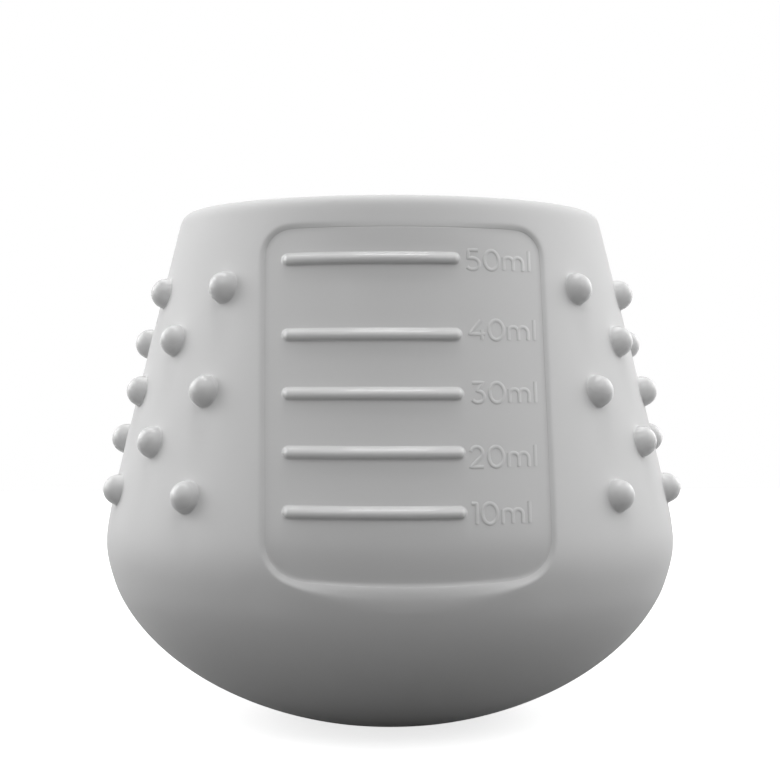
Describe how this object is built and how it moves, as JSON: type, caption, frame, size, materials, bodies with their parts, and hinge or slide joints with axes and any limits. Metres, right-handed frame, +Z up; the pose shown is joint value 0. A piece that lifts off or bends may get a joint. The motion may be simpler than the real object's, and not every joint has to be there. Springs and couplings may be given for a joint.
{
  "type": "training cup",
  "caption": "Open training cup with a flared belly and a domed, weighted base: a bumpy soft grip sleeve around a smooth inner cup whose graduated panel shows through a window.",
  "frame": {"origin": "centre of the flat foot under the domed base", "axes": "+Z up along the cup's axis, with the graduated window facing -Y"},
  "size_m": [0.06, 0.0597, 0.053],
  "materials": {
    "sleeve": "satin light grey silicone",
    "inner_cup": "polished light grey",
    "ballast": "turned steel"
  },
  "bodies": {
    "root": {"outer_sleeve": "sleeve", "inner_cup": "inner_cup", "ballast_disc": "ballast"}
  },
  "joints": []
}
